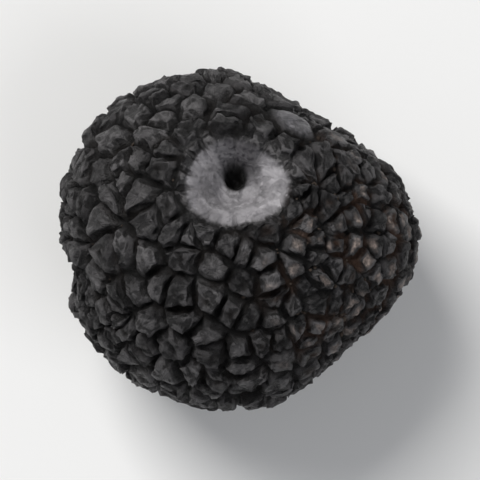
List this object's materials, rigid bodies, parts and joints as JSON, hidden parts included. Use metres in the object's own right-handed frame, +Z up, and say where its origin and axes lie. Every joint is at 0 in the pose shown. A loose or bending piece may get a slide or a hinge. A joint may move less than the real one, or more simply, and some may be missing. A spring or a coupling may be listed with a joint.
{
  "type": "black truffle",
  "caption": "Whole black winter truffle: a round, faintly lobed body covered in many-sided warts, with a bowl-shaped pit on top, resting on a small flat spot.",
  "frame": {"origin": "on the surface that the truffle lies on, under the middle of its box", "axes": "+Z up, +X along its longest side, +Y towards the side that the pit on top is tipped to"},
  "size_m": [0.0326, 0.031, 0.0285],
  "materials": {
    "truffle_skin": "matte, warty, near-black"
  },
  "bodies": {
    "root": {"truffle": "truffle_skin"}
  },
  "joints": []
}
